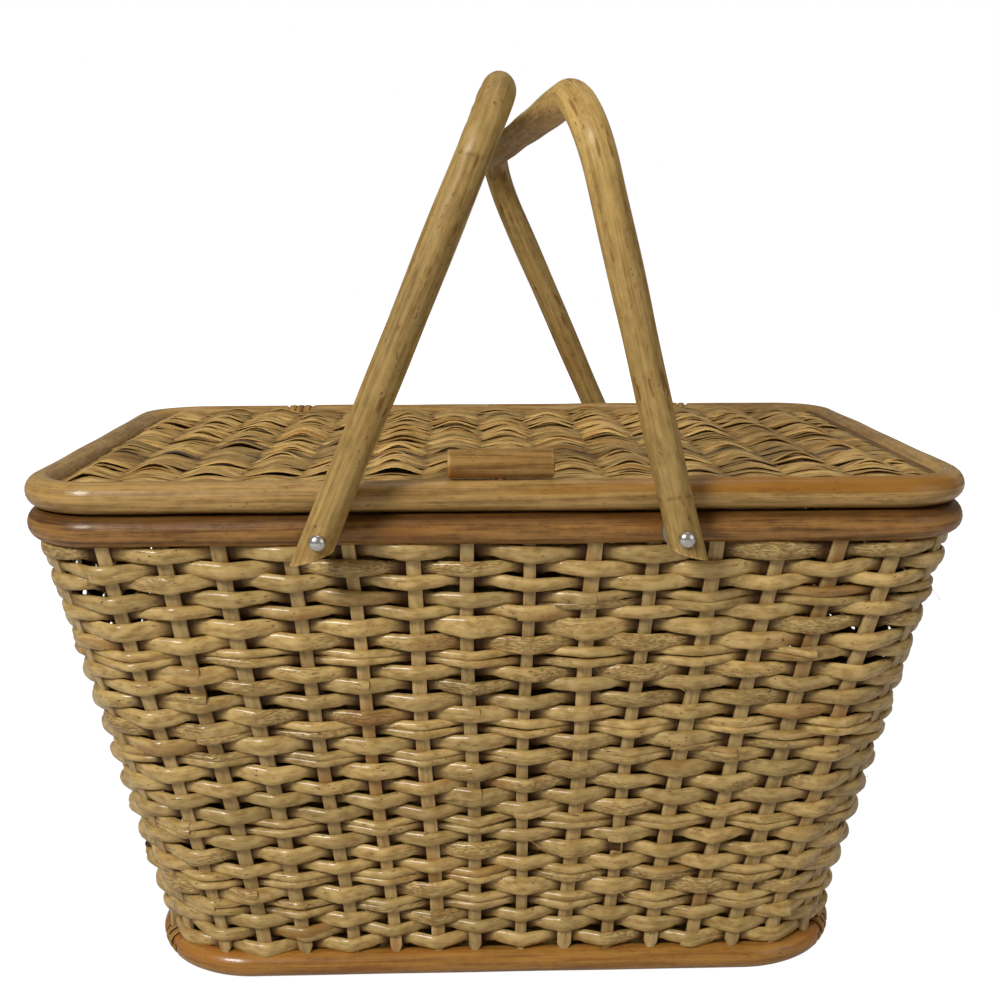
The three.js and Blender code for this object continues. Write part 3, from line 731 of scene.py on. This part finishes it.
rim_ring = bent_ring(
    "rim_pole",
    rim_corner,
    hinge_necks,
    hinge_neck_half,
    hinge_neck_radius,
    shift=1.7,
    painted_shade=painted_shade_under_lid,
)
add_piece("rim_pole_bent", rim_ring, rim_finish, "basket", "rim_rattan", "rim_pole")


# Cane lashings and hinge bindings
# Flat cane wound three times round: four lashings lie round the base pole on the bends of its corners,
# and two bindings run round the back poles of rim and lid together, so that the lid can swing.

cane_turns = 3
hinge_pitch = 0.0047
lashing_pitch = 0.0054
cane_half_width = 0.0021
cane_half_thick = 0.0006
cane_steps = 32
lashing_radius = 0.0057
lashing_first_angle = 0.0
hinge_cane_radius = 0.0071
hinge_first_angle = -math.pi / 2
cane_finish = rattan(
    "cane_rattan",
    straw=srgb(172, 132, 70),
    fibre=srgb(122, 86, 40),
    stain=srgb(132, 92, 40),
    stain_from=0.5,
    rough=0.38,
)


def wind_cane(name, lower, upper, side, body_radius, first_angle):
    """Cane wound round one pole or two: hubs of the lower and upper half turns, and sideways directions.
    Both ends of the cane lie at the first angle, counted from sideways to up."""
    loops = bmesh.new()
    count = cane_turns * cane_steps
    angle = first_angle + np.arange(count + 1) * 2 * np.pi / cane_steps
    outward = np.cos(angle)[:, None] * side + np.sin(angle)[:, None] * np.array([0.0, 0.0, 1.0])
    on_upper = np.sin(angle) >= -1e-9
    centre = np.where(on_upper[:, None], upper, lower) + outward * body_radius
    cane = straight_stock(flat_section, count)
    bend_stock(loops, cane, centre, outward, cane_half_thick, cane_half_width, 0.9 * len(name), 0.45)
    add_piece(name + "_cane", loops, cane_finish, "basket", "cane_binding", name)


wound = np.linspace(-cane_turns / 2, cane_turns / 2, cane_turns * cane_steps + 1)
for lashing, signs in lashing_signs.items():
    hubs, sideways = base_bend(*signs, wound * lashing_pitch)
    wind_cane(lashing, hubs, hubs, sideways, lashing_radius, lashing_first_angle)
lid_low, lid_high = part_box("lid_pole")
lid_middle = (lid_low.z + lid_high.z) / 2
for side, x in zip(("left", "right"), hinge_places):
    rim_hubs = np.stack(np.broadcast_arrays(x + wound * hinge_pitch, rim_back, rim_middle), axis=1)
    lid_hubs = rim_hubs + [0, 0, lid_middle - rim_middle]
    sideways = np.broadcast_to([0.0, -1.0, 0.0], rim_hubs.shape)
    binding = f"hinge_binding_{side}"
    wind_cane(binding, rim_hubs, lid_hubs, sideways, hinge_cane_radius, hinge_first_angle)


# Pivot bolts, spacers and nuts
# Each handle leg turns on a domed zinc bolt that runs through the leg, a spacer disc and the rim pole,
# with a nut inside the basket.

def turned(profile, segments):
    """A solid turned about Y from its profile of radius and distance along Y."""
    made = bmesh.new()
    points = [made.verts.new((radius, along, 0)) for radius, along in profile]
    edges = [made.edges.new(pair) for pair in zip(points, points[1:])]
    bmesh.ops.spin(
        made,
        geom=points + edges,
        axis=(0, 1, 0),
        cent=(0, 0, 0),
        angle=2 * math.pi,
        steps=segments,
        use_merge=True,
    )
    bmesh.ops.remove_doubles(made, verts=made.verts, dist=1e-6)
    bmesh.ops.recalc_face_normals(made, faces=made.faces)
    return made


def zinc(name, shade, rough):
    """Bright zinc plate: a mottled shade and gloss, and a faintly uneven surface."""
    finish, skin, start = bare_finish(name)
    place = start.node("TexCoord", {}, {}, out="Object")
    cloud = start.node("TexNoise", {}, {"Vector": place, "Scale": 900, "Detail": 3})
    scratch = start.node("TexNoise", {}, {"Vector": place, "Scale": 4200, "Detail": 2})
    colour = cloud.between(0.35, 0.65).blend(shade, [value * 0.85 for value in shade[:3]] + [1])
    bump = start.node("Bump", {}, {"Height": scratch + cloud, "Distance": 0.000012, "Strength": 1.0})
    colour.feed(skin, "Base Color")
    (rough + (cloud - 0.5) * 0.3).feed(skin, "Roughness")
    bump.feed(skin, "Normal")
    skin.inputs["Metallic"].default_value = 1.0
    return finish


bolt_finish = zinc("bolt_zinc", srgb(214, 214, 210), 0.26)
# The spacers' zinc is a darker copy of the bolts' zinc, as painted shade where they sit between leg and rim
# pole.
spacer_shaded_zinc = zinc("spacer_zinc_painted_shade", srgb(150, 146, 136), 0.45)
shank_radius = 0.0024
shank_chamfer = 0.0004
head_share = 0.9
head_height = 0.003
head_edge = 0.0003
dome_steps = 10
bore = 0.0027
ease = 0.0005
nut_sides = 6
nut_bevel = 0.0004
shortest_bevelled = 0.003
for place in ("front_left", "front_right", "back_left", "back_right"):
    back = place.startswith("back")
    ends = {}
    half_across = {}
    for kind in ("bolt", "spacer", "nut"):
        low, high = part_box(f"pivot_{kind}_{place}")
        ends[kind] = (low.y, high.y) if back else (-high.y, -low.y)
        half_across[kind] = (high.x - low.x) / 2
    low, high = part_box(f"pivot_bolt_{place}")
    pivot = Vector(((low.x + high.x) / 2, 0, (low.z + high.z) / 2))
    inner, outer = ends["bolt"]
    head_radius = half_across["bolt"] * head_share
    under_head = outer - head_height
    bolt_profile = [
        (0, inner),
        (shank_radius * 0.8, inner),
        (shank_radius, inner + shank_chamfer),
        (shank_radius, under_head),
        (head_radius * 0.96, under_head),
        (head_radius, under_head + head_edge),
    ]
    for step in range(1, dome_steps + 1):
        angle = math.pi / 2 * step / dome_steps
        dome_height = head_edge + (head_height - head_edge) * math.sin(angle)
        bolt_profile.append((head_radius * math.cos(angle), under_head + dome_height))
    face_in, face_out = ends["spacer"]
    edge = half_across["spacer"]
    spacer_profile = [
        (bore, face_in),
        (edge - ease, face_in),
        (edge, face_in + ease),
        (edge, face_out - ease),
        (edge - ease, face_out),
        (bore, face_out),
        (bore, face_in),
    ]
    nut_in, nut_out = ends["nut"]
    flank = half_across["nut"]
    nut_profile = [(bore, nut_in), (flank, nut_in), (flank, nut_out), (bore, nut_out), (bore, nut_in)]
    nut = turned(nut_profile, nut_sides)
    bevelled = [e for e in nut.edges if e.calc_length() > shortest_bevelled]
    bmesh.ops.bevel(
        nut,
        geom=bevelled,
        offset=nut_bevel,
        segments=2,
        profile=0.5,
        affect="EDGES",
        material=-1,
    )
    half_turn = Matrix.Rotation(0 if back else math.pi, 4, "Z")
    hardware = {
        "bolt": (turned(bolt_profile, 40), bolt_finish),
        "spacer": (turned(spacer_profile, 48), spacer_shaded_zinc),
        "nut": (nut, bolt_finish),
    }
    for kind, (made, finish) in hardware.items():
        bmesh.ops.transform(made, matrix=Matrix.Translation(pivot) @ half_turn, verts=made.verts)
        node = f"pivot_{kind}_{place}"
        add_piece(node + "_turned", made, finish, "basket", "zinc_hardware", node)


# Lid pole
# The lid's frame: a third bent pole that lies on the rim pole, golden tan with orange patches.
# It is pared behind where the hinge cane runs round it, and turns in that cane.

lid_front = lid_low.y + rim_radius
lid_finish = rattan(
    "lid_pole_rattan",
    straw=srgb(182, 146, 86),
    fibre=srgb(128, 96, 48),
    stain=srgb(146, 94, 18),
    stain_from=0.6,
    strip=(lid_middle + 0.0004, lid_middle + 0.0016, lid_front),
    rough=0.38,
    varnish=0.3,
    scars=0.35,
)


def lid_painted_shade(points):
    """Painted shade on the lid pole: how far its underside lies in the crevice over the rim, and faintly
    its inner side by the panel."""
    height = (points[:, 2] - lid_middle) / rim_radius
    shade_over_rim = np.clip((-0.72 - height) / 0.25, 0, 1)
    past_x = np.maximum(np.abs(points[:, 0]) - (lid_high.x - rim_radius - rim_corner), 0)
    past_y = np.maximum(np.abs(points[:, 1]) - (lid_high.y - rim_radius - rim_corner), 0)
    inward = (rim_corner - np.hypot(past_x, past_y)) / rim_radius
    shade_by_panel = 0.1 * np.clip((inward - 0.5) / 0.4, 0, 1)
    return np.maximum(shade_over_rim, shade_by_panel)


lid_ring = bent_ring(
    "lid_pole",
    rim_corner,
    hinge_necks,
    hinge_neck_half,
    hinge_neck_radius,
    shift=3.1,
    painted_shade=lid_painted_shade,
)
add_piece("lid_pole_bent", lid_ring, lid_finish, "lid", "lid_rattan", "lid_pole")


# Lid panel
# Thin flat strands, three to a band, run along the lid and pass over one rib and under the next.
# They are beaten close, so the strands on top of a rib spread and hide the rib and the strands below.

panel_low, panel_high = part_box("lid_weave")
tucked_at_ends = 0.003
tucked_at_sides = 0.002
panel_half_x = (panel_high.x - panel_low.x) / 2 + tucked_at_ends
panel_half_y = (panel_high.y - panel_low.y) / 2 + tucked_at_sides
panel_corner = 0.0285
panel_middle = 0.2618
rib_half_steps = 29
rib_pitch = 2 * (panel_high.x - panel_low.x) / rib_half_steps
rib_shift = rib_pitch / 4
band_count = 37
strands_per_band = 3
strand_half_thick = 0.00055
strand_half_width = 0.00235
broad_share = 0.46
strand_wave = 0.0032
strand_end_run = 0.014
strand_end_dip = 0.0022
broad_lift = 0.0003
spread_on_rib = 0.95
greyed_to = -0.45
old_band = 10
half_old_band = 15
lid_draw = np.random.default_rng(37)
strand_pitch = 2 * panel_half_y / (band_count * strands_per_band)
strand_steps = 140
strand_section = [(1, -0.55), (1, 0.55), (0, 1), (-1, 0.55), (-1, -0.55), (0, -1)]
strand_stock = straight_stock(strand_section, strand_steps)


def panel_reach(aside, half_run, half_spread):
    """How far a strand or rib at this distance from the middle runs before the rounded corner ends it."""
    into_corner = min(max(0.0, abs(aside) - (half_spread - panel_corner)), panel_corner)
    return half_run - panel_corner + math.sqrt(panel_corner**2 - into_corner**2)


strands = bmesh.new()
for band in range(band_count):
    band_tone = lid_draw.uniform(0.2, 0.76)
    aged = abs(band - old_band) < 2
    half_aged = band == half_old_band
    band_middle = -panel_half_y + (band + 0.5) * strands_per_band * strand_pitch
    from_edge = min(band, band_count - 1 - band)
    band_height = lid_draw.uniform(0.72, 1.28) * min(1.0, 0.5 + 0.15 * from_edge)
    for k in range(strands_per_band):
        slot = (k - (strands_per_band - 1) / 2) * strand_pitch
        reach = panel_reach(band_middle + slot, panel_half_x, panel_half_y) - lid_draw.uniform(0.0, 0.002)
        along = np.linspace(-reach, reach, strand_steps + 1)
        waver = lid_draw.uniform(-1, 1, 6)
        knots = np.linspace(-panel_half_x, panel_half_x, 2 * int(panel_half_x / rib_pitch) + 3)
        uneven = np.interp(along, knots, lid_draw.uniform(-1, 1, len(knots)))
        phase = np.pi * ((along - rib_shift + 0.0011 * waver[0]) / rib_pitch + band)
        over = np.cos(phase)
        crest = strand_wave * band_height * (1 + 0.14 * waver[1] + 0.32 * uneven)
        wave = crest * (over + 0.09 * np.cos(3 * phase)) + 0.0003 * waver[3]
        ends = np.clip((reach - np.abs(along)) / strand_end_run, 0, 1)
        broad = lid_draw.uniform() < broad_share
        lift = panel_middle + wave * ends - strand_end_dip * (1 - ends)
        if broad:
            lift = lift + broad_lift
        spread = slot * (1 + spread_on_rib * over)
        sideways = band_middle + spread + 0.0011 * uneven + 0.0006 * np.sin(31 * along + 3 * waver[4])
        centre = np.stack([along, sideways, lift], axis=1)
        lean = 0.12 * (k - 1) * over + 0.24 * waver[2]
        upward = np.stack([np.zeros_like(along), lean, np.ones_like(along)], axis=1)
        breadth = lid_draw.uniform(1.25, 1.65) if broad else lid_draw.uniform(0.72, 1.1)
        wide = strand_half_width * breadth * (0.88 + 0.12 * over)
        tone = band_tone + lid_draw.uniform(-0.36, 0.4) + 0.16 * uneven
        greyed = lid_draw.uniform(0.45, 1.0)
        if half_aged:
            greyed = greyed * np.clip((-0.02 - along) / 0.05, 0, 1)
        elif not aged:
            greyed = 0.0
        tone = tone + (greyed_to - tone) * greyed
        # Painted shade in the hollows below the crests and at the strand ends by the pole.
        painted_shade = np.clip(np.maximum(0.36 - 0.95 * over, 0.8 - 1.3 * ends), 0, 1)
        shift = 0.61 * (band * strands_per_band + k)
        bend_stock(strands, strand_stock, centre, upward, strand_half_thick, wide, shift, tone, painted_shade)
strand_finish = rattan(
    "lid_strand_rattan",
    straw=srgb(206, 172, 108),
    fibre=srgb(136, 98, 42),
    stain=srgb(146, 100, 38),
    stain_from=0.54,
    streak=1.5,
    blotch=1.0,
    fleck=0.6,
    rough=0.46,
    varnish=0.1,
    old=srgb(126, 104, 84),
    gloss=0.14,
)
add_piece("lid_strands", strands, strand_finish, "lid", "lid_weave", "lid_weave")

ribs = bmesh.new()
rib_half_thick = 0.001
rib_half_width = 0.0065
end_rib_half_width = 0.003
rib_steps = 60
rib_stock = straight_stock(flat_section, rib_steps)
ribs_left_of_middle = int((panel_half_x + rib_shift) / rib_pitch)
rib_count = ribs_left_of_middle + int((panel_half_x - rib_shift) / rib_pitch) + 1
for k in range(rib_count):
    x = rib_shift + (k - ribs_left_of_middle) * rib_pitch
    reach = panel_reach(x, panel_half_y, panel_half_x)
    along = np.linspace(-reach, reach, rib_steps + 1)
    centre = np.stack([np.full_like(along, x), along, np.full_like(along, panel_middle)], axis=1)
    upward = np.broadcast_to([0.0, 0.0, 1.0], centre.shape)
    half_width = end_rib_half_width if k in (0, rib_count - 1) else rib_half_width
    # The ribs are painted darker, as shade under the strands.
    bend_stock(ribs, rib_stock, centre, upward, rib_half_thick, half_width, 0.7 * k, 0.35, 0.75)
add_piece("lid_ribs", ribs, strand_finish, "lid", "lid_weave")


# Lid grip
# A short piece of pole with chamfered ends, to lift the lid by.
# It lies on top of the lid's front pole, and one peg holds it there.

grip_low, grip_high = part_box("lid_grip")
grip_radius = (grip_high.z - grip_low.z) / 2
grip_middle = (grip_low + grip_high) / 2
grip_half = (grip_high.x - grip_low.x) / 2
grip_steps = 60
grip_along = np.linspace(-grip_half, grip_half, grip_steps + 1)
grip_chamfer = 0.0007
grip_sink = 0.0009
grip_shade = 0.25
grip_end_shade = 0.9
chamfered = grip_radius - np.clip(grip_chamfer - (grip_half - np.abs(grip_along)), 0, grip_chamfer)
grip = bmesh.new()
grip_line = np.stack(np.broadcast_arrays(grip_along, grip_middle.y, grip_middle.z - grip_sink), axis=1)
grip_up = np.broadcast_to([0.0, 0.0, 1.0], grip_line.shape)
by_end = grip_half - np.abs(grip_along) < 1.5 * grip_chamfer
grip_tone = np.where(by_end, grip_end_shade, grip_shade)
grip_stock = straight_stock(round_section(28), grip_steps)
bend_stock(grip, grip_stock, grip_line, grip_up, chamfered, chamfered, 5.3, grip_tone)
grip_finish = rattan(
    "grip_rattan",
    straw=srgb(172, 132, 72),
    fibre=srgb(118, 82, 34),
    stain=srgb(154, 94, 26),
    stain_from=0.5,
    streak=2.5,
    rough=0.4,
)
add_piece("lid_grip_turned", grip, grip_finish, "lid", "lid_rattan", "lid_grip")

peg_low, peg_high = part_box("grip_peg")
peg_radius = (peg_high.x - peg_low.x) / 2
peg_steps = 12
peg_line = np.linspace([0, grip_middle.y, peg_low.z], [0, grip_middle.y, peg_high.z], peg_steps + 1)
peg_facing = np.broadcast_to([0.0, -1.0, 0.0], peg_line.shape)
peg = bmesh.new()
peg_stock = straight_stock(round_section(16), peg_steps)
bend_stock(peg, peg_stock, peg_line, peg_facing, peg_radius, peg_radius, 6.1, 0.4)
add_piece("grip_peg_turned", peg, rim_finish, "lid", "rim_rattan", "grip_peg")


# Swing handles
# Each handle is one pole bent twice, its two legs outside the rim at front and back.
# The legs' ends are cut on the slant, longest on the outer side, and each turns on its bolt.

handle_radius = 0.008
handle_bend = 0.038
handle_spacing = 0.0028
bend_steps = 24
cut_allowance = 0.004
tip_drop = 0.0165
tip_bevel = math.radians(40)
handle_shapes = {
    "handle_left": {"length": 0.213, "lean_front": 22.9, "lean_back": 20.5},
    "handle_right": {"length": 0.2005, "lean_front": 13.6, "lean_back": 23.8},
}
cut_tone = 1.1
# Painted light and shade along each handle, at these shares of its length from the front foot: lighter
# where light fell, as on the right handle's top bend, and darker where shade fell, as on its crossbar and
# back leg.
tone_shares = [0, 0.17, 0.34, 0.42, 0.6, 0.72, 1]
handle_painted_light = {
    "handle_left": [0.5, 0.2, 0.42, 0.3, 0.3, 0.3, 0.3],
    "handle_right": [0.22, 0.45, 1.25, 0.5, 0.05, 0.05, 0.05],
}
handle_finish = rattan(
    "handle_rattan",
    straw=srgb(187, 156, 95),
    fibre=srgb(124, 94, 44),
    stain=srgb(156, 110, 44),
    stain_from=0.56,
    streak=1.2,
    blotch=0.7,
    fleck=0.7,
    rough=0.48,
    varnish=0.05,
    ring_gap=0.23,
    scars=0.75,
    gloss=0.2,
)


def rounded_way(corners, radius, spacing):
    """Evenly spaced points along straight runs between corners, with the inner corners rounded."""
    points = [corners[0]]
    for before, corner, after in zip(corners, corners[1:], corners[2:]):
        into = (corner - before).normalized()
        out = (after - corner).normalized()
        angle = into.angle(out)
        inward = (out - into * out.dot(into)).normalized()
        begin = corner - into * radius * math.tan(angle / 2)
        hub = begin + inward * radius
        for step in range(bend_steps + 1):
            bent = angle * step / bend_steps
            points.append(hub - inward * radius * math.cos(bent) + into * radius * math.sin(bent))
    points.append(corners[-1])
    line = np.array(points)
    way = np.concatenate([[0], np.cumsum(np.linalg.norm(np.diff(line, axis=0), axis=1))])
    even = np.linspace(0, way[-1], int(way[-1] / spacing))
    return np.stack([np.interp(even, way, line[:, axis]) for axis in range(3)], axis=1)


for joint in frame["joints"]:
    if joint["child"] not in handle_shapes:
        continue
    node = joint["child"]
    shape = handle_shapes[node]
    leg_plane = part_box(node)[1].y - handle_radius
    pivot_x, _, pivot_z = joint["pos_m"]
    side = math.copysign(1, pivot_x)
    corners = []
    cuts = []
    for front, lean in ((-1, shape["lean_front"]), (1, shape["lean_back"])):
        angle = math.radians(lean)
        pivot = Vector((pivot_x, front * leg_plane, pivot_z))
        up = Vector((-side * math.sin(angle), 0, math.cos(angle)))
        outer = Vector((side * math.cos(angle), 0, math.sin(angle)))
        foot = pivot - up * (tip_drop + cut_allowance)
        top = pivot + up * shape["length"]
        corners += [foot, top] if front < 0 else [top, foot]
        slant = (up + outer * math.tan(tip_bevel)).normalized()
        cuts.append((pivot - up * tip_drop + outer * handle_radius, slant))
    centre = rounded_way(corners, handle_bend, handle_spacing)
    facing = np.empty_like(centre)
    ahead = np.gradient(centre, axis=0)
    ahead /= np.linalg.norm(ahead, axis=1)[:, None]
    turned_to = np.array([0.0, -1.0, 0.0])
    for k in range(len(centre)):
        turned_to = turned_to - ahead[k] * turned_to.dot(ahead[k])
        turned_to = turned_to / np.linalg.norm(turned_to)
        facing[k] = turned_to
    pole = bmesh.new()
    stock = straight_stock(round_section(28), len(centre) - 1)
    # Painted light and shade along the handle.
    tone = np.interp(np.linspace(0, 1, len(centre)), tone_shares, handle_painted_light[node])
    shift = 7.7 + side
    bend_stock(pole, stock, centre, facing, handle_radius, handle_radius, shift, tone, dents=0.00016)
    for point, slant in cuts:
        everything = pole.verts[:] + pole.edges[:] + pole.faces[:]
        bmesh.ops.bisect_plane(pole, geom=everything, plane_co=point, plane_no=slant, clear_inner=True)
        cut_edges = [edge for edge in pole.edges if edge.is_boundary]
        bmesh.ops.holes_fill(pole, edges=cut_edges)
        for edge in cut_edges:
            for corner in edge.verts:
                corner[pole.verts.layers.float["tone"]] = cut_tone
    add_piece(node + "_bent", pole, handle_finish, node, "handle_rattan", node)


# Studio
# A pale floor that shows white and keeps the basket's shadow, and soft lamps.
# The camera's place and lens are fitted to the photograph.

floor_half = 6.0
floor_mesh = bmesh.new()
bmesh.ops.create_grid(floor_mesh, x_segments=1, y_segments=1, size=floor_half)
floor_data = bpy.data.meshes.new("studio_floor")
floor_mesh.to_mesh(floor_data)
floor_mesh.free()
studio_floor = bpy.data.objects.new("studio_floor", floor_data)
bpy.context.scene.collection.objects.link(studio_floor)
paper = bpy.data.materials.new("white_paper")
paper.use_nodes = True
paper_sheet = Wire(paper.node_tree)
ray = paper_sheet.node("LightPath", {}, {}, out="Is Camera Ray")
spot = paper_sheet.node("TexCoord", {}, {}, out="Object")
away = paper_sheet.node("VectorMath", {"operation": "LENGTH"}, {0: spot}, out="Value")
matte = paper_sheet.node("BsdfDiffuse", {}, {"Color": (0.6, 0.6, 0.6, 1)})
far_white = away.between(0.3, 0.8).blend((0.85, 0.85, 0.85, 1), (1, 1, 1, 1))
glow = paper_sheet.node("Emission", {}, {"Color": far_white, "Strength": 1.35})
lit = paper_sheet.node("MixShader", {}, {0: ray * 0.85, 1: matte, 2: glow})
lit.feed(paper.node_tree.nodes["Material Output"], "Surface")
floor_data.materials.append(paper)

world = bpy.data.worlds.new("studio")
world.use_nodes = True
bpy.context.scene.world = world
air = Wire(world.node_tree)
seen = air.node("LightPath", {}, {}, out="Is Camera Ray")
mirrored = air.node("LightPath", {}, {}, out="Is Glossy Ray")
shown = seen.math("MAXIMUM", seen, mirrored * 0.1)
dim = air.node("Background", {}, {"Color": (1, 0.84, 0.6, 1), "Strength": 0.17})
white = air.node("Background", {}, {"Color": (1, 1, 1, 1), "Strength": 1.0})
backdrop = air.node("MixShader", {}, {0: shown, 1: dim, 2: white})
backdrop.feed(world.node_tree.nodes["World Output"], "Surface")


def soft_lamp(name, place, aim, size, power, glints=True):
    lamp = bpy.data.lights.new(name, "AREA")
    lamp.shape = "DISK"
    lamp.size = size
    lamp.energy = power
    stand = bpy.data.objects.new(name, lamp)
    stand.location = place
    stand.rotation_euler = (Vector(aim) - Vector(place)).to_track_quat("-Z", "Y").to_euler()
    stand.visible_glossy = glints
    bpy.context.scene.collection.objects.link(stand)


soft_lamp("key_lamp", (-1.2, -1.5, 1.6), (0, 0, 0.2), 0.7, 43)
soft_lamp("fill_lamp", (1.5, -1.2, 0.9), (0, 0, 0.2), 1.4, 5)
soft_lamp("back_lamp", (1.2, 1.7, 0.8), (0, 0, 0.15), 1.4, 18, glints=False)
soft_lamp("top_lamp", (0.1, 0.3, 2.2), (0, 0, 0.2), 1.2, 5)

photo_pixels = 1000
focal_pixels = 1300
sensor = 36.0
camera_place = Vector((-0.01765, -0.72749, 0.37419))
camera_yaw = 0.0293
camera_pitch = 0.1979
camera_roll = -0.0028
level_ahead = Vector((math.sin(camera_yaw), math.cos(camera_yaw), 0))
ahead = level_ahead * math.cos(camera_pitch) - Vector((0, 0, math.sin(camera_pitch)))
level_right = Vector((math.cos(camera_yaw), -math.sin(camera_yaw), 0))
level_up = level_right.cross(ahead)
right = level_right * math.cos(camera_roll) + level_up * math.sin(camera_roll)
upright = level_up * math.cos(camera_roll) - level_right * math.sin(camera_roll)
lens = bpy.data.cameras.new("photo_camera")
lens.sensor_width = sensor
lens.lens = focal_pixels / photo_pixels * sensor
lens.clip_start = 0.05
camera = bpy.data.objects.new("photo_camera", lens)
facing = Matrix((right, upright, -ahead)).transposed().to_4x4()
camera.matrix_world = Matrix.Translation(camera_place) @ facing
bpy.context.scene.collection.objects.link(camera)
bpy.context.scene.camera = camera
bpy.context.scene.view_settings.view_transform = "Standard"
